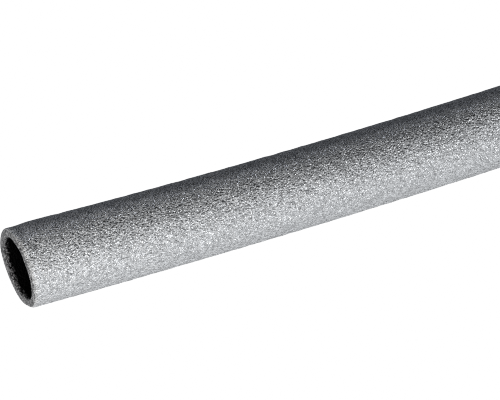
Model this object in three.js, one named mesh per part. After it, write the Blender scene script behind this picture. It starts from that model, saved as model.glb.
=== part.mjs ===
// Pipe insulation lagging: one length of grey polyethylene foam tube, lying on the floor.
//
// Real foam tube is extruded in one piece and stays soft, so it is never quite true. This one
// is straight for most of its length and bows a little to one side towards its near end. That
// end was cut by hand: the cut is out of square, and the knife has left the end slightly oval.
//
// Units are millimetres and +Z is up. The straight stretch runs along X, the near end is at
// -X, and it bows towards +Y. The origin is on the floor, under the middle of the tube's box.

import * as THREE from "three";

// The tube as it is sold: for a 28 mm pipe, with a 4 mm wall, in 1 m lengths.
const boreDiameter = 28;
const wallThickness = 4;
const tubeLength = 1000;

// The bow: an arc at the near end, which runs into the straight stretch without a kink.
const bowLength = 300;
const bowRadius = 3450;

// The near end's section: how far its long axis stands out past the round tube, how that
// axis leans up from level, and over what length the tube gets back to round.
const ovalSwell = 0.9;
const ovalLean = THREE.MathUtils.degToRad(21);
const ovalLength = 160;

// The near end's cut, measured from square: sideways, and from top to bottom.
const cutSkewSideways = THREE.MathUtils.degToRad(-7);
const cutSkewUpright = THREE.MathUtils.degToRad(2);

// How finely the mesh follows the round wall and the bow.
const sides = 32;
const bowStep = 20;
const straightStep = 100;

const boreRadius = boreDiameter / 2;
const outerRadius = boreRadius + wallThickness;

// Distances from the near end at which the mesh has a ring of points.
function ringStations() {
  const bowRings = Math.max(1, Math.round(bowLength / bowStep));
  const straightLength = tubeLength - bowLength;
  const straightRings = Math.max(1, Math.round(straightLength / straightStep));
  const stations = [];
  for (let ring = 0; ring < bowRings; ring += 1) {
    stations.push((bowLength * ring) / bowRings);
  }
  for (let ring = 0; ring <= straightRings; ring += 1) {
    stations.push(bowLength + (straightLength * ring) / straightRings);
  }
  return stations;
}

// The straight, round tube: the wall's long section turned about the axis. The section goes
// up the outside, across the far end, back down the bore and closes across the near end.
function straightTube() {
  const stations = ringStations();
  const outside = stations.map((along) => new THREE.Vector2(outerRadius, along));
  const bore = stations.map((along) => new THREE.Vector2(boreRadius, along)).reverse();
  const section = [...outside, ...bore, outside[0].clone()];
  const halfSide = Math.PI / sides;
  return new THREE.LatheGeometry(section, sides, halfSide);
}

// Moves a point of the wall outwards or inwards, so that the section is oval near the cut.
// It follows an oval's own outward direction, which keeps the wall equally thick all round.
function ovalled(radius, angle, along) {
  const left = Math.max(0, 1 - along / ovalLength);
  const swell = ovalSwell * left * left;
  const turn = 2 * (angle - ovalLean);
  const outward = radius + swell * Math.cos(turn);
  const around = -2 * swell * Math.sin(turn);
  return {
    sideways: outward * Math.cos(angle) - around * Math.sin(angle),
    upwards: outward * Math.sin(angle) + around * Math.cos(angle),
  };
}

// Where the tube's axis is at a distance along it, and how far it is turned from +X there.
function axisAt(along) {
  const intoBow = Math.max(0, bowLength - along);
  const turned = intoBow / bowRadius;
  const pastBow = Math.max(0, along - bowLength);
  return {
    turned,
    x: pastBow - bowRadius * Math.sin(turned),
    y: bowRadius * (1 - Math.cos(turned)),
  };
}

// Takes one point of the straight tube to its place on the real one.
function shapePoint(point) {
  const angle = Math.atan2(point.x, point.z);
  const radius = Math.hypot(point.x, point.z);
  const { sideways, upwards } = ovalled(radius, angle, point.y);
  const skew = sideways * Math.tan(cutSkewSideways) + upwards * Math.tan(cutSkewUpright);
  const along = point.y === 0 ? skew : point.y;
  const axis = axisAt(along);
  return new THREE.Vector3(
    axis.x + sideways * Math.sin(axis.turned),
    axis.y + sideways * Math.cos(axis.turned),
    upwards,
  );
}

// The finished wall, with the bore open from end to end.
function foamTubeGeometry() {
  const geometry = straightTube();
  const points = geometry.getAttribute("position");
  const point = new THREE.Vector3();
  for (let index = 0; index < points.count; index += 1) {
    point.copy(shapePoint(point.fromBufferAttribute(points, index)));
    points.setXYZ(index, point.x, point.y, point.z);
  }
  geometry.computeVertexNormals();
  return geometry;
}

// Mid-grey foam with a dull, slightly waxy skin.
const foam = new THREE.MeshStandardMaterial({
  color: 0x8b8d91,
  roughness: 0.6,
  metalness: 0,
});

const foamTube = new THREE.Mesh(foamTubeGeometry(), foam);
foamTube.name = "foam_tube";

// Sets the tube down on the floor, with the origin under the middle of its box.
foamTube.geometry.computeBoundingBox();
const box = foamTube.geometry.boundingBox;
foamTube.position.set(
  -(box.min.x + box.max.x) / 2,
  -(box.min.y + box.max.y) / 2,
  -box.min.z,
);

const lagging = new THREE.Group();
lagging.add(foamTube);

export default lagging;
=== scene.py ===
# %% [markdown]
# # A length of foam pipe lagging
#
# Pipe lagging is a soft tube that slips over a heating pipe and keeps its heat in. It is made of
# polyethylene, blown full of small closed bubbles while it is squeezed out of a ring-shaped die.
# The wall comes out with a thin, bumpy skin, because each bubble under it pushes up a little.
#
# The tube is already there as a plain solid with 32 flat sides. This lesson makes the tube that
# is seen: truly round, with lumps, a hand-cut end and the grain of real foam.

# %% Load the solid and measure it
import math

import bmesh
import bpy
from mathutils import Matrix, Vector


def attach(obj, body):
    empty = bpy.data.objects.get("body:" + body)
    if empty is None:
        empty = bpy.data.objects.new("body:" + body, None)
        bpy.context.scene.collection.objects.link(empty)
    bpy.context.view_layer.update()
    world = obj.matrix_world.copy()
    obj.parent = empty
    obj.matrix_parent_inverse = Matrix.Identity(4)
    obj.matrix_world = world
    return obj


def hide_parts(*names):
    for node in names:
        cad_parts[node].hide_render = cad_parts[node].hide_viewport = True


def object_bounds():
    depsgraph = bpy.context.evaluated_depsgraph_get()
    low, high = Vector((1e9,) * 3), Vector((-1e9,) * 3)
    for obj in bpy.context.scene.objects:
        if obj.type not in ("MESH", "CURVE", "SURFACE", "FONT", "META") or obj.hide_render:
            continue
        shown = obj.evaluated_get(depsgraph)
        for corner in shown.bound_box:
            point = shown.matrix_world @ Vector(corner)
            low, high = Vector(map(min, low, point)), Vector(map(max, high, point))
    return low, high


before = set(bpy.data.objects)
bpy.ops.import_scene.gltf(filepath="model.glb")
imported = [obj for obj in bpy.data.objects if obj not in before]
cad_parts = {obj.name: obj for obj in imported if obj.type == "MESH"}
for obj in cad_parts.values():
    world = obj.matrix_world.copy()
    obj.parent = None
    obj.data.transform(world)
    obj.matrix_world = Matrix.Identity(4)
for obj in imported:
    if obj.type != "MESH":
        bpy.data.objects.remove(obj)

solid_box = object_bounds()
MM = 0.001
print("solid, mm:", [[round(v / MM, 1) for v in corner] for corner in solid_box])

# %% [markdown]
# ## The tube's sizes
#
# Lagging is sold by the pipe that it fits and by its wall. This one fits a 28 mm pipe and has a
# 4 mm wall. It comes in straight lengths, but soft foam never stays true: near its end this one
# bows a little to one side, and the knife that cut it has left the end oval and out of square.

# %% Sizes of the tube
BORE_RADIUS = 14 * MM
WALL = 4 * MM
OUTER_RADIUS = BORE_RADIUS + WALL
LENGTH = 1000 * MM
BOW_LENGTH = 300 * MM
BOW_RADIUS = 3450 * MM
OVAL_SWELL = 0.9 * MM
OVAL_LENGTH = 160 * MM
OVAL_LEAN = math.radians(21)
SKEW_SIDEWAYS = math.radians(7)
SKEW_UPRIGHT = math.radians(2)

# Places along the tube are measured from the point where the bow begins. The tube is modelled
# with that point at the origin, because the bend is made around it.
NEAR_END = -BOW_LENGTH
FAR_END = LENGTH - BOW_LENGTH
print("tube, mm:", 2 * OUTER_RADIUS / MM, "outside,", LENGTH / MM, "long")

# %% [markdown]
# ## The camera
#
# The camera comes first, so that every later step can be looked at from the right place. It is a
# long lens, some way off, which looks down on the near end at about 46 degrees. The tube then
# runs away from it to the right. Its numbers were found by fitting the tube's outline to the
# photograph's.

# %% Camera
LENS_MM = 197.19
ELEVATION = math.radians(45.79)
HEADING = math.radians(25.24)
DISTANCE = 1200.39 * MM
AIM_RIGHT = 101.99 * MM
AIM_UP = 29.885 * MM

bow_turn = BOW_LENGTH / BOW_RADIUS
near_end_centre = Vector((
    solid_box[1].x - FAR_END - BOW_RADIUS * math.sin(bow_turn),
    solid_box[0].y + OUTER_RADIUS + BOW_RADIUS * (1 - math.cos(bow_turn)),
    solid_box[1].z / 2,
))
right = Vector((math.cos(HEADING), -math.sin(HEADING), 0))
away = Vector((math.sin(HEADING), math.cos(HEADING), 0))
upright = Vector((0, 0, 1))
towards_camera = upright * math.sin(ELEVATION) - away * math.cos(ELEVATION)
up_in_picture = upright * math.cos(ELEVATION) + away * math.sin(ELEVATION)

camera_data = bpy.data.cameras.new("camera")
camera_data.lens = LENS_MM
camera = bpy.data.objects.new("camera", camera_data)
bpy.context.scene.collection.objects.link(camera)
camera.location = (
    near_end_centre + towards_camera * DISTANCE + right * AIM_RIGHT + up_in_picture * AIM_UP
)
turned = Matrix((right, up_in_picture, towards_camera)).transposed()
camera.rotation_euler = turned.to_euler()
bpy.context.scene.camera = camera
print("camera at, mm:", [round(v / MM) for v in camera.location])

# %% [markdown]
# ## Helpers that select by place
#
# An operator works on what is selected, so each step first selects its vertices, edges or faces.
# By hand that is a click or a box select. Here a short test on each one's place does the same.

# %% Select by place
NEAR_ENOUGH = 0.2 * MM


def select_vertices(piece, wanted):
    """Selects the vertices whose places pass the test."""
    bpy.ops.mesh.select_mode(type="VERT")
    bpy.ops.mesh.select_all(action="DESELECT")
    mesh = bmesh.from_edit_mesh(piece.data)
    for vertex in mesh.verts:
        vertex.select = wanted(vertex.co)
    mesh.select_flush_mode()
    bmesh.update_edit_mesh(piece.data)


def select_edges(piece, wanted):
    """Selects the edges whose two ends pass the test."""
    bpy.ops.mesh.select_mode(type="EDGE")
    bpy.ops.mesh.select_all(action="DESELECT")
    mesh = bmesh.from_edit_mesh(piece.data)
    for edge in mesh.edges:
        edge.select = wanted(edge.verts[0].co, edge.verts[1].co)
    mesh.select_flush_mode()
    bmesh.update_edit_mesh(piece.data)


def select_faces(piece, wanted):
    """Selects the faces whose middle and normal pass the test."""
    bpy.ops.mesh.select_mode(type="FACE")
    bpy.ops.mesh.select_all(action="DESELECT")
    mesh = bmesh.from_edit_mesh(piece.data)
    for face in mesh.faces:
        face.select = wanted(face.calc_center_median(), face.normal)
    mesh.select_flush_mode()
    bmesh.update_edit_mesh(piece.data)


def radius_of(place):
    """How far a place is from the tube's axis."""
    return math.hypot(place.y, place.z)


def is_near(value, other):
    """Whether two measures are the same, but for rounding."""
    return abs(value - other) < NEAR_ENOUGH


print("places count as the same within", NEAR_ENOUGH / MM, "mm")

# %% [markdown]
# ## The wall
#
# A die makes the real wall by pushing foam through a ring. The same is done here: a circle is
# extruded along the tube's length, and scaled between two extrusions to turn round the cut
# ends. Two sleeves are made, because the near end is seen from close by and gets more faces
# than the long plain rest. The skin is extruded in several stretches, because a later step cuts
# each of them into rings, and Subdivide makes 100 cuts at most.

# %% Extrude the two sleeves
# The fan is the first stretch behind a cut, where rings will fan out from the skewed near cut.
# The seam is the gap that is left between the two sleeves.
NEAR_SIDES = 160
FAR_SIDES = 80
FAN = 20 * MM
NEAR_STRETCH = 55 * MM
NEAR_STRETCHES = 4
NEAR_SKIN = FAN + NEAR_STRETCHES * NEAR_STRETCH
NEAR_BORE = 30 * MM
FAR_STRETCH = 150 * MM
FAR_STRETCHES = 4
SEAM = 1.5 * MM


def sleeve(name, sides, stations):
    """A tube wall that follows stations, each a place along the tube and a radius."""
    bpy.ops.object.select_all(action="DESELECT")
    start, radius = stations[0]
    bpy.ops.mesh.primitive_circle_add(
        vertices=sides,
        radius=radius,
        location=(start, 0, 0),
        rotation=(0, math.pi / 2, 0),
    )
    piece = bpy.context.object
    piece.name = name
    bpy.ops.object.transform_apply(location=True, rotation=True, scale=True)
    bpy.ops.object.mode_set(mode="EDIT")
    bpy.ops.mesh.select_all(action="SELECT")
    for place, next_radius in stations[1:]:
        bpy.ops.mesh.extrude_region_move(
            TRANSFORM_OT_translate={"value": (place - start, 0, 0)}
        )
        grow = next_radius / radius
        bpy.ops.transform.resize(value=(1, grow, grow), center_override=(place, 0, 0))
        start, radius = place, next_radius
    bpy.ops.object.mode_set(mode="OBJECT")
    print(name, "has", len(piece.data.polygons), "faces")
    return piece


near_skin_places = [NEAR_END + FAN + n * NEAR_STRETCH for n in range(NEAR_STRETCHES + 1)]
near_sleeve = sleeve("near_sleeve", NEAR_SIDES, [
    (NEAR_END + NEAR_BORE, BORE_RADIUS),
    (NEAR_END + FAN, BORE_RADIUS),
    (NEAR_END, BORE_RADIUS),
    (NEAR_END, OUTER_RADIUS),
    *[(place, OUTER_RADIUS) for place in near_skin_places],
])

far_skin_places = [
    NEAR_END + NEAR_SKIN + SEAM,
    *[NEAR_END + NEAR_SKIN + n * FAR_STRETCH for n in range(1, FAR_STRETCHES + 1)],
    FAR_END - FAN,
    FAR_END,
]
far_bore_places = [FAR_END, FAR_END - FAN, 0, NEAR_END + NEAR_BORE + SEAM]
far_sleeve = sleeve("far_sleeve", FAR_SIDES, [
    *[(place, OUTER_RADIUS) for place in far_skin_places],
    *[(place, BORE_RADIUS) for place in far_bore_places],
])

# %% [markdown]
# ## More rings along the wall
#
# The foam's lumps need faces that are small and nearly square. Each long stretch has its
# lengthwise edges subdivided, which cuts it into rings. The stretch next to the near cut waits,
# because its rings have to fan out from the skewed cut.

# %% Subdivide the stretches
NEAR_SPACING = 0.78 * MM
FAR_SPACING = 2.0 * MM
BORE_SPACING = 12 * MM


def cut_rings(piece, one_end, other_end, radius, spacing):
    """Cuts the stretch of wall between two places into rings, spacing apart."""
    low, high = sorted((one_end, other_end))

    def lengthwise(a, b):
        first, last = sorted((a.x, b.x))
        return is_near(first, low) and is_near(last, high) and is_near(radius_of(a), radius)

    select_edges(piece, lengthwise)
    bpy.ops.mesh.subdivide(number_cuts=round((high - low) / spacing) - 1)


bpy.ops.object.select_all(action="DESELECT")
bpy.context.view_layer.objects.active = near_sleeve
bpy.ops.object.mode_set(mode="EDIT")
for one_end, other_end in zip(near_skin_places, near_skin_places[1:]):
    cut_rings(near_sleeve, one_end, other_end, OUTER_RADIUS, NEAR_SPACING)
cut_rings(near_sleeve, NEAR_END + FAN, NEAR_END + NEAR_BORE, BORE_RADIUS, NEAR_SPACING)
bpy.ops.object.mode_set(mode="OBJECT")
print("near sleeve now has", len(near_sleeve.data.polygons), "faces")

bpy.context.view_layer.objects.active = far_sleeve
bpy.ops.object.mode_set(mode="EDIT")
for one_end, other_end in zip(far_skin_places, far_skin_places[1:]):
    cut_rings(far_sleeve, one_end, other_end, OUTER_RADIUS, FAR_SPACING)
cut_rings(far_sleeve, FAR_END, FAR_END - FAN, BORE_RADIUS, FAR_SPACING)
for one_end, other_end in zip(far_bore_places[1:], far_bore_places[2:]):
    cut_rings(far_sleeve, one_end, other_end, BORE_RADIUS, BORE_SPACING)
bpy.ops.object.mode_set(mode="OBJECT")
print("far sleeve now has", len(far_sleeve.data.polygons), "faces")

# %% [markdown]
# ## One wall from two sleeves
#
# Joined, the sleeves still have a gap between them, 1.5 mm wide, on the skin and in the bore.
# Bridging fills each gap with faces, and it can go from 160 sides to 80.

# %% Join and bridge
bpy.ops.object.select_all(action="DESELECT")
far_sleeve.select_set(True)
near_sleeve.select_set(True)
bpy.context.view_layer.objects.active = near_sleeve
bpy.ops.object.join()
tube = near_sleeve
tube.name = "lagging_tube"
bpy.ops.object.mode_set(mode="EDIT")


def bridge_gap(low, radius):
    """Fills the gap between the sleeves that starts at low."""

    def on_gap(a, b):
        on_ring = is_near(a.x, b.x) and is_near(radius_of(a), radius)
        return on_ring and (is_near(a.x, low) or is_near(a.x, low + SEAM))

    select_edges(tube, on_gap)
    bpy.ops.mesh.bridge_edge_loops()


bridge_gap(NEAR_END + NEAR_SKIN, OUTER_RADIUS)
bridge_gap(NEAR_END + NEAR_BORE, BORE_RADIUS)
bpy.ops.mesh.select_all(action="SELECT")
bpy.ops.mesh.normals_make_consistent(inside=False)
bpy.ops.object.mode_set(mode="OBJECT")
print("wall has", len(tube.data.polygons), "faces")

# %% [markdown]
# ## The near end, as the knife left it
#
# The knife squeezed the end, so its section is a little oval, and the oval fades out over 160 mm.
# Proportional editing does just that: only the end is scaled, and the rest follows less and
# less. The oval leans, so the tube is first turned until the oval lies level. Then the end's
# rings are tilted to skew the cut. Without a window, rotate turns clockwise for a positive
# angle, so the signs here are the other way round.

# %% Squeeze and skew the near end
swell_share = OVAL_SWELL / OUTER_RADIUS
centre = (NEAR_END, 0, 0)
bpy.ops.object.mode_set(mode="EDIT")
bpy.ops.mesh.select_all(action="SELECT")
bpy.ops.transform.rotate(value=OVAL_LEAN, orient_axis="X", center_override=centre)
select_vertices(tube, lambda place: is_near(place.x, NEAR_END))
bpy.ops.transform.resize(
    value=(1, 1 + swell_share, 1 - swell_share),
    center_override=centre,
    use_proportional_edit=True,
    proportional_edit_falloff="SHARP",
    proportional_size=OVAL_LENGTH,
)
bpy.ops.mesh.select_all(action="SELECT")
bpy.ops.transform.rotate(value=-OVAL_LEAN, orient_axis="X", center_override=centre)

select_vertices(tube, lambda place: is_near(place.x, NEAR_END))
bpy.ops.transform.rotate(value=-SKEW_SIDEWAYS, orient_axis="Z", center_override=centre)
bpy.ops.transform.rotate(value=-SKEW_UPRIGHT, orient_axis="Y", center_override=centre)
bpy.ops.transform.resize(
    value=(1, 1 / math.cos(SKEW_SIDEWAYS), 1 / math.cos(SKEW_UPRIGHT)),
    center_override=centre,
)
bpy.ops.object.mode_set(mode="OBJECT")


def depth_from_cut(place):
    """How far a place lies in from the nearest cut. The near cut's own place depends on the side."""
    cut_shift = place.z * math.tan(SKEW_UPRIGHT) - place.y * math.tan(SKEW_SIDEWAYS)
    return min(place.x - NEAR_END - cut_shift, FAR_END - place.x)


mouth = [v.co for v in tube.data.vertices if v.co.x < NEAR_END + FAN / 2]
print("near end, mm: half width", round(max(v.y for v in mouth) / MM, 2),
      "half height", round(max(v.z for v in mouth) / MM, 2),
      "off the cut", round(max(abs(depth_from_cut(v)) for v in mouth) / MM, 2))

# %% [markdown]
# ## Cut edges
#
# A knife presses soft foam before it cuts. Where it went in, at the top and the front, it has
# rolled the skin inwards, so that edge is wide and round. Where it came out, low at the back,
# the edge is crisp. The lip of the bore is a little rubbed all round. A Bevel modifier does this
# with a weight on each edge, which is the share of the full width that it is rounded by.

# %% Round the cut edges
FULL_ROUND = 2.6 * MM
CRISP_ROUND = 0.4 * MM
LIP_ROUND = 1.0 * MM
ROUND_SEGMENTS = 5
KNIFE_SIDE = math.radians(130)
MIDDLE_RADIUS = BORE_RADIUS + WALL / 2


def in_bore(place):
    return radius_of(place) < MIDDLE_RADIUS


def is_near_cut(place):
    return place.x < NEAR_END + FAN / 2


def rounding(place):
    """How wide the cut edge is rounded at this place."""
    if in_bore(place):
        return LIP_ROUND
    if not is_near_cut(place):
        return CRISP_ROUND
    from_knife = math.atan2(place.z, place.y) - KNIFE_SIDE
    return CRISP_ROUND + (FULL_ROUND - CRISP_ROUND) * (1 + math.cos(from_knife)) / 2


weights = tube.data.attributes.new("bevel_weight_edge", "FLOAT", "EDGE")
for edge in tube.data.edges:
    first, last = (tube.data.vertices[end].co for end in edge.vertices)
    at_near_cut = is_near_cut(first) and is_near_cut(last)
    at_far_cut = min(first.x, last.x) > FAR_END - NEAR_ENOUGH
    if (at_near_cut or at_far_cut) and in_bore(first) == in_bore(last):
        weights.data[edge.index].value = rounding((first + last) / 2) / FULL_ROUND
print("edges to round:", sum(share.value > 0 for share in weights.data))

bevel = tube.modifiers.new("rounding", "BEVEL")
bevel.limit_method = "WEIGHT"
bevel.width = FULL_ROUND
bevel.segments = ROUND_SEGMENTS
bpy.ops.object.modifier_apply(modifier=bevel.name)

# %% [markdown]
# ## The last rings
#
# The stretch behind the near cut gets its rings now that the cut is in place. Subdividing the
# edges that run from the skewed cut to the first straight ring fans the new rings out between.

# %% Cut the last rings
bpy.ops.object.mode_set(mode="EDIT")


def is_fan_edge(a, b):
    first, last = sorted((a, b), key=lambda end: end.x)
    return is_near_cut(first) and is_near(last.x, NEAR_END + FAN)


select_edges(tube, is_fan_edge)
bpy.ops.mesh.subdivide(number_cuts=round(FAN / NEAR_SPACING) - 1)
bpy.ops.object.mode_set(mode="OBJECT")
print("wall has", sum(len(p.vertices) - 2 for p in tube.data.polygons), "triangles")

# %% [markdown]
# ## Marks of the hand and the knife
#
# The hand that held the tube has pressed its end in, high at the back, and the wall below that
# stands out a little past the cut. Each is one push of a few points of the end. Proportional
# editing lets the wall around them follow, less and less, as soft foam does.

# %% Push the end in and out
PUSH_REACH = 9 * MM


def push(side, half_width, by):
    """Pushes one side of the near end, and the foam around it follows."""
    towards = Vector((0, math.cos(side), math.sin(side)))

    def is_pushed(place):
        across = Vector((0, place.y, place.z))
        return depth_from_cut(place) < WALL and across.angle(towards) < half_width

    select_vertices(tube, is_pushed)
    bpy.ops.transform.translate(
        value=by,
        use_proportional_edit=True,
        proportional_edit_falloff="SMOOTH",
        proportional_size=PUSH_REACH,
    )


bpy.ops.object.mode_set(mode="EDIT")
push(side=math.radians(50), half_width=math.radians(25), by=(0, -0.35 * MM, -0.45 * MM))
push(side=math.radians(-60), half_width=math.radians(45), by=(-0.5 * MM, 0, 0))
bpy.ops.object.mode_set(mode="OBJECT")
print("near end now starts at, mm:", round(min(v.co.x for v in tube.data.vertices) / MM, 2))

# %% [markdown]
# ## Skin, cut ends and bore
#
# Foam has three surfaces. The skin is closed and bumpy, the knife has opened the bubbles on the
# cut ends, and the die's pin has left the bore smoother. Each gets its own material slot, and a
# share of the relief that follows, kept as the weight of a vertex group. This is done while the
# wall is still straight, because its parts are then told apart by a radius and a direction.

# %% Material slots and relief shares
LIP_SLOPE = 0.15
EDGE_SLOPE = 0.8


def is_cut_face(place, normal):
    return abs(normal.x) > (LIP_SLOPE if in_bore(place) else EDGE_SLOPE)


def is_bore_face(place, normal):
    return in_bore(place) and not is_cut_face(place, normal)


def is_skin_face(place, normal):
    return not in_bore(place) and not is_cut_face(place, normal)


bpy.ops.object.mode_set(mode="EDIT")
tube.vertex_groups.new(name="relief")
surfaces = {}
for name, relief_share, wanted in (
    ("foam_bore", 0.4, is_bore_face),
    ("foam_cut", 0.7, is_cut_face),
    ("foam_skin", 1.0, is_skin_face),
):
    surfaces[name] = bpy.data.materials.new(name)
    tube.data.materials.append(surfaces[name])
    tube.active_material_index = len(tube.data.materials) - 1
    select_faces(tube, wanted)
    bpy.ops.object.material_slot_assign()
    bpy.context.scene.tool_settings.vertex_group_weight = relief_share
    bpy.ops.object.vertex_group_assign()
bpy.ops.object.mode_set(mode="OBJECT")
for slot, name in enumerate(surfaces):
    print(name, "has", sum(p.material_index == slot for p in tube.data.polygons), "faces")

# %% [markdown]
# ## Painted shade inside the mouth
#
# Deeper in, the bore is painted near black as shade, and only its first few millimetres keep
# the foam's grey. A material can't tell how far in it is, so each vertex keeps a number for it:
# 1 at the cut, and less and less down to 0 where the painted shade is full. Such an attribute
# belongs to the mesh and moves with it.

# %% Attribute for the bore's painted shade
UNSHADED_DEPTH = 2.5 * MM

unshaded_mouth = tube.data.attributes.new("unshaded_mouth", "FLOAT", "POINT")
for vertex in tube.data.vertices:
    # 1 at the cut keeps the foam's grey, and 0 deeper in gets the full painted shade.
    share = 1 - depth_from_cut(vertex.co) / UNSHADED_DEPTH
    unshaded_mouth.data[vertex.index].value = min(1, max(0, share))
print("scuffed vertices:", sum(share.value > 0 for share in unshaded_mouth.data))

# %% [markdown]
# ## Relief
#
# Real bubbles are about a millimetre wide, and groups of them swell into low lumps. The lumps and
# the coarser bubbles are made in the mesh with Displace modifiers, each moving the surface along
# its normal by a cloud texture. The finest grain would need millions of faces, so it is left to
# the materials.

# %% Displace the surface
def add_relief(name, width, height):
    """Raises and lowers the surface by a cloud pattern of this width and full height."""
    clouds = bpy.data.textures.new(name, "CLOUDS")
    clouds.noise_scale = width
    clouds.noise_depth = 1
    relief = tube.modifiers.new(name, "DISPLACE")
    relief.texture = clouds
    relief.texture_coords = "LOCAL"
    relief.vertex_group = "relief"
    relief.mid_level = 0.5
    relief.strength = height
    bpy.ops.object.modifier_apply(modifier=relief.name)
    print(name, "added, mm:", width / MM, "wide,", height / MM, "high")


add_relief("lumps", width=4.5 * MM, height=0.32 * MM)
add_relief("bubbles", width=1.1 * MM, height=0.15 * MM)

# %% [markdown]
# ## The bow
#
# A Simple Deform modifier bends the tube. It takes the total angle, which is the length of the
# bow divided by its radius, and its limits keep the bend to the near stretch. Then the tube is
# set down where the solid lies, with its lowest lumps on the floor. The move is made in edit
# mode, so the place is in the mesh and the object itself stays at the origin.

# %% Bend the near stretch and set the tube down
near_most = min(v.co.x for v in tube.data.vertices)
bend = tube.modifiers.new("bow", "SIMPLE_DEFORM")
bend.deform_method = "BEND"
bend.deform_axis = "Z"
bend.angle = -near_most / BOW_RADIUS
bend.limits = (0, -near_most / (FAR_END - near_most))
bpy.ops.object.modifier_apply(modifier=bend.name)
print("bow, mm:", round(max(v.co.y for v in tube.data.vertices) / MM - OUTER_RADIUS / MM, 2))

lowest = min(v.co.z for v in tube.data.vertices)
bpy.ops.object.mode_set(mode="EDIT")
bpy.ops.mesh.select_all(action="SELECT")
bpy.ops.transform.translate(value=(
    solid_box[1].x - FAR_END,
    solid_box[0].y + OUTER_RADIUS,
    solid_box[0].z - lowest,
))
bpy.ops.object.mode_set(mode="OBJECT")
bpy.ops.object.shade_smooth()
print("lowest point, mm:", round(min(v.co.z for v in tube.data.vertices) / MM, 3))

# %% [markdown]
# ## One function for nodes
#
# A material is a small network of nodes. This function adds one node with its settings, and
# links or sets each of its inputs. Colours are written as on the web and turned to linear light.

# %% Add a node
def add_node(tree, kind, inputs=None, **settings):
    """Adds a node. An input that is a socket is linked, and any other value is set."""
    node = tree.nodes.new(kind)
    for name, value in settings.items():
        setattr(node, name, value)
    for name, value in (inputs or {}).items():
        if isinstance(value, bpy.types.NodeSocket):
            tree.links.new(value, node.inputs[name])
        else:
            node.inputs[name].default_value = value
    return node


def from_hex(code):
    """An sRGB hex colour as linear red, green, blue and alpha."""
    shares = [int(code[i:i + 2], 16) / 255 for i in (1, 3, 5)]
    linear = [s / 12.92 if s <= 0.04045 else ((s + 0.055) / 1.055) ** 2.4 for s in shares]
    return (*linear, 1.0)


print("mid grey in linear light:", round(from_hex("#808080")[0], 3))

# %% [markdown]
# ## Bubbles in a material
#
# All three surfaces show the same bubbles, closed or cut open, so one function makes their
# pattern. Voronoi cells have the irregular, tightly packed look of bubbles. The squared distance
# from a cell's middle is a dome, or a hollow when the bump is inverted, and some noise roughens
# it. Each cell also gives one random number, because no two bubbles are quite the same grey.

# %% Bubble pattern
GRIT_WIDTH = 0.55 * MM


def bubbles(tree, width, height, grit, cut_open=False):
    """Bubbles this wide and high. Gives a bumpy normal and a random number for each bubble."""
    place = add_node(tree, "ShaderNodeTexCoord").outputs["Object"]
    cells = add_node(tree, "ShaderNodeTexVoronoi", {"Vector": place, "Scale": 1 / width})
    dome = add_node(tree, "ShaderNodeMath", {
        0: cells.outputs["Distance"], 1: 2.0,
    }, operation="POWER")
    noise = add_node(tree, "ShaderNodeTexNoise", {
        "Vector": place, "Scale": 1 / GRIT_WIDTH, "Detail": 1.0, "Roughness": 0.5,
    })
    soft_noise = add_node(tree, "ShaderNodeMath", {
        0: noise.outputs["Fac"], 1: grit,
    }, operation="MULTIPLY")
    surface = add_node(tree, "ShaderNodeMath", {
        0: soft_noise.outputs[0], 1: dome.outputs[0],
    }, operation="SUBTRACT")
    bump = add_node(tree, "ShaderNodeBump", {
        "Strength": 1.0, "Distance": height, "Height": surface.outputs[0],
    }, invert=cut_open)
    chance = add_node(tree, "ShaderNodeSeparateColor", {"Color": cells.outputs["Color"]})
    return bump.outputs[0], chance.outputs[0]


print("grit is", GRIT_WIDTH / MM, "mm wide")

# %% [markdown]
# ## Glitter
#
# Where the film over the bubbles has wrinkled, it stands at odd angles, and such spots catch the
# light or miss it. Each Voronoi cell has a random colour. Read as a direction, with its middle
# moved to zero, it tips the normal of that whole cell one way, so the cell acts as a tiny facet.

# %% Facets
FACET_WIDTH = 0.5 * MM


def facets(tree, tilt, normal):
    """Tips the normal by a random amount in each facet."""
    place = add_node(tree, "ShaderNodeTexCoord").outputs["Object"]
    cells = add_node(tree, "ShaderNodeTexVoronoi", {"Vector": place, "Scale": 1 / FACET_WIDTH})
    direction = add_node(tree, "ShaderNodeVectorMath", {
        0: cells.outputs["Color"], 1: (0.5, 0.5, 0.5),
    }, operation="SUBTRACT")
    tipped = add_node(tree, "ShaderNodeVectorMath", {
        0: direction.outputs[0], 1: (tilt, tilt, tilt), 2: normal,
    }, operation="MULTIPLY_ADD")
    level = add_node(tree, "ShaderNodeVectorMath", {0: tipped.outputs[0]}, operation="NORMALIZE")
    return level.outputs[0]


print("facets are", FACET_WIDTH / MM, "mm wide")

# %% [markdown]
# ## Polyethylene
#
# The foam is low-density polyethylene, coloured grey with a little carbon black. The clear
# plastic bends light by 1.51. Two more functions serve all its surfaces: one mixes two shades,
# and one links a finished pattern to a Principled shader. On the Mix node, sockets 6 and 7 are
# the two colours and output 2 is the result, because the node keeps other sockets of the same
# names for plain numbers.

# %% Shades and shader of the foam
POLYETHYLENE_IOR = 1.51


def shade(tree, share, dark, light):
    """A colour between dark, where the share is 0, and light, where it is 1."""
    mix = add_node(tree, "ShaderNodeMix", {0: share, 6: dark, 7: light}, data_type="RGBA")
    return mix.outputs[2]


def finish_foam(tree, normal, colour, roughness, specular):
    """Ends a foam material with its shader."""
    shader = add_node(tree, "ShaderNodeBsdfPrincipled", {
        "Base Color": colour,
        "Roughness": roughness,
        "IOR": POLYETHYLENE_IOR,
        "Specular IOR Level": specular,
        "Normal": normal,
    })
    add_node(tree, "ShaderNodeOutputMaterial", {"Surface": shader.outputs[0]})


for material in surfaces.values():
    material.use_nodes = True
    material.node_tree.nodes.clear()
print("materials:", ", ".join(surfaces))

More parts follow.
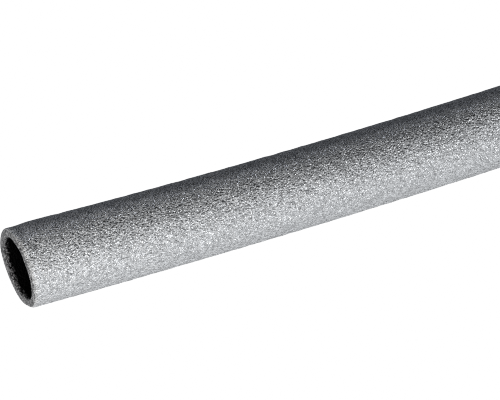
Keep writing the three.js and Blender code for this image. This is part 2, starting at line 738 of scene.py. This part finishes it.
# %% [markdown]
# ## Skin
#
# The die and cold air close the outermost bubbles into a thin, waxy skin, which is smoother than
# the foam under it. Its little domes and facets each have a small highlight of their own, so the
# whole tube glitters a little. The greys lean slightly to blue, as carbon black does when it is
# thinned out. The bubbles here are 0.8 mm wide, a little finer than the ones in the mesh, and
# are about the finest that still show from the camera.
#
# Seen at a low angle, real domes stand in front of each other and hide their highlights. Bumps in
# a material can't do that, and would sparkle along the outline. So Layer Weight, which tells how
# much the skin faces the eye, makes it rougher where it turns away.

# %% Skin material
tree = surfaces["foam_skin"].node_tree
normal, chance = bubbles(tree, width=0.8 * MM, height=0.4 * MM, grit=0.2)
normal = facets(tree, tilt=0.8, normal=normal)
grey = shade(tree, chance, from_hex("#88898a"), from_hex("#a6a7a8"))
turned_away = add_node(tree, "ShaderNodeLayerWeight", {"Blend": 0.5}).outputs["Facing"]
roughness = add_node(tree, "ShaderNodeMapRange", {
    "Value": turned_away, "From Min": 0.35, "From Max": 0.65, "To Min": 0.4, "To Max": 1.0,
})
finish_foam(tree, normal, grey, roughness=roughness.outputs[0], specular=0.85)
print("skin has", len(tree.nodes), "nodes")

# %% [markdown]
# ## Cut foam
#
# The knife has sliced the bubbles open, so the cut shows hollows with torn rims. The bump is
# inverted for that, and its facets tilt further. Torn film shines less than the closed skin,
# and the hollows differ more in shade than closed bubbles do.

# %% Cut material
tree = surfaces["foam_cut"].node_tree
normal, chance = bubbles(tree, width=0.8 * MM, height=0.5 * MM, grit=0.3, cut_open=True)
normal = facets(tree, tilt=1.0, normal=normal)
grey = shade(tree, chance, from_hex("#4e4f51"), from_hex("#9c9d9f"))
finish_foam(tree, normal, grey, roughness=0.5, specular=0.6)
print("cut has", len(tree.nodes), "nodes")

# %% [markdown]
# ## Bore
#
# Little light gets out of a long narrow bore, so its wall is painted near black as shade. Only
# near the mouth does it keep a grey as light as cut foam. The painted shade starts raggedly,
# bubble by bubble: the chance of each bubble is added to the nearness to the cut, and what comes
# out above a limit keeps the grey.

# %% Bore material
tree = surfaces["foam_bore"].node_tree
normal, chance = bubbles(tree, width=0.9 * MM, height=0.4 * MM, grit=0.3)
# Painted shade: deeper in, the bore wall is coloured near black, because little light reaches it
# there.
bore_painted_shade = shade(tree, chance, from_hex("#060607"), from_hex("#0c0c0d"))
# The foam's own grey, kept near the mouth where the painted shade has not begun.
unshaded = shade(tree, chance, from_hex("#4c4c4e"), from_hex("#9c9c9e"))
nearness = add_node(tree, "ShaderNodeAttribute", attribute_name="unshaded_mouth").outputs["Fac"]
ragged_nearness = add_node(tree, "ShaderNodeMath", {0: chance, 1: 0.5, 2: nearness}, operation="MULTIPLY_ADD")
is_unshaded = add_node(tree, "ShaderNodeMapRange", {
    "Value": ragged_nearness.outputs[0], "From Min": 0.5, "From Max": 1.1,
})
grey = shade(tree, is_unshaded.outputs[0], bore_painted_shade, unshaded)
finish_foam(tree, normal, grey, roughness=0.7, specular=0.1)
print("bore has", len(tree.nodes), "nodes")

# %% [markdown]
# ## Floor
#
# The tube was photographed on white that is lit so brightly that it holds no shadow. A floor that
# glows does the same. If it glowed as brightly as it looks, it would light the tube too much
# from below. Light Path tells what a ray is for, so what the camera sees is pure white, and what
# falls on the tube is set apart from it.

# %% Glowing floor
FLOOR_SIZE = 12

bpy.ops.object.select_all(action="DESELECT")
bpy.ops.mesh.primitive_plane_add(size=FLOOR_SIZE, location=(0, 0, 0))
floor = bpy.context.object
floor.name = "floor"


def white_and_cast(tree, kind, tint, cast):
    """Light that the camera sees as pure white, and that falls on the tube in a tint."""
    ray = add_node(tree, "ShaderNodeLightPath")
    cast_light = add_node(tree, kind, {"Color": from_hex(tint), "Strength": cast})
    seen_light = add_node(tree, kind, {"Color": (1, 1, 1, 1), "Strength": 1.0})
    both = add_node(tree, "ShaderNodeMixShader", {
        0: ray.outputs["Is Camera Ray"], 1: cast_light.outputs[0], 2: seen_light.outputs[0],
    })
    return both.outputs[0]


paper = bpy.data.materials.new("white_paper")
paper.use_nodes = True
tree = paper.node_tree
tree.nodes.clear()
glow = white_and_cast(tree, "ShaderNodeEmission", tint="#fbfdff", cast=0.6)
add_node(tree, "ShaderNodeOutputMaterial", {"Surface": glow})
floor.data.materials.append(paper)
print("floor, m:", FLOOR_SIZE)

# %% [markdown]
# ## Lights
#
# The side of the tube that faces the camera is bright and its top is dark, so the main light
# stands low in front. It is a sun lamp, which is as strong along the whole tube. A weak one from
# behind gives the top edge its thin sheen. A softbox stands close to the near end and lights
# its cut. Since it is so close, it also makes the tube a little darker towards the right.

# %% Suns and softbox
SOFTBOX_SIZE = 300 * MM
SOFTBOX_DISTANCE = 500 * MM


def add_sun(name, comes_from, strength, softness, tint):
    """A distant lamp. Softness is the width that it shows from the tube, in degrees."""
    data = bpy.data.lights.new(name, "SUN")
    data.color = from_hex(tint)[:3]
    data.energy = strength
    data.angle = math.radians(softness)
    sun = bpy.data.objects.new(name, data)
    bpy.context.scene.collection.objects.link(sun)
    sun.rotation_euler = Vector(comes_from).to_track_quat("Z", "Y").to_euler()
    print(name, "added")


add_sun("front", comes_from=(0.3, -0.93, 0.2), strength=5.2, softness=10, tint="#fdfeff")
add_sun("back", comes_from=(0, 0.98, 0.2), strength=1.2, softness=10, tint="#f0f5ff")

softbox_data = bpy.data.lights.new("softbox", "AREA")
softbox_data.color = from_hex("#fffcf8")[:3]
softbox_data.energy = 3.4
softbox_data.size = SOFTBOX_SIZE
softbox = bpy.data.objects.new("softbox", softbox_data)
bpy.context.scene.collection.objects.link(softbox)
to_softbox = Vector((-1.0, -0.3, 0.25)).normalized()
softbox.location = near_end_centre + to_softbox * SOFTBOX_DISTANCE
softbox.rotation_euler = to_softbox.to_track_quat("Z", "Y").to_euler()

world = bpy.data.worlds.new("studio")
bpy.context.scene.world = world
world.use_nodes = True
tree = world.node_tree
tree.nodes.clear()
glow = white_and_cast(tree, "ShaderNodeBackground", tint="#f0f5ff", cast=0.1)
add_node(tree, "ShaderNodeOutputWorld", {"Surface": glow})

# %% [markdown]
# ## Picture
#
# The Standard view keeps white paper white, where the default one would turn it grey. A gamma
# below 1 darkens the middle greys and leaves white and black alone, as a camera's contrast
# setting does. Denoising would wipe out the foam's grain with the noise, so it is off, and a
# slightly narrower pixel filter keeps the grain crisp.

# %% Contrast and sharpness
view = bpy.context.scene.view_settings
view.view_transform = "Standard"
view.gamma = 0.7
bpy.context.scene.cycles.use_denoising = False
bpy.context.scene.cycles.filter_width = 1.1
print("view:", view.view_transform, "with gamma", round(view.gamma, 2))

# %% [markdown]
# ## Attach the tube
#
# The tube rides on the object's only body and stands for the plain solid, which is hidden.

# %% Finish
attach(tube, "root")
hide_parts("foam_tube")
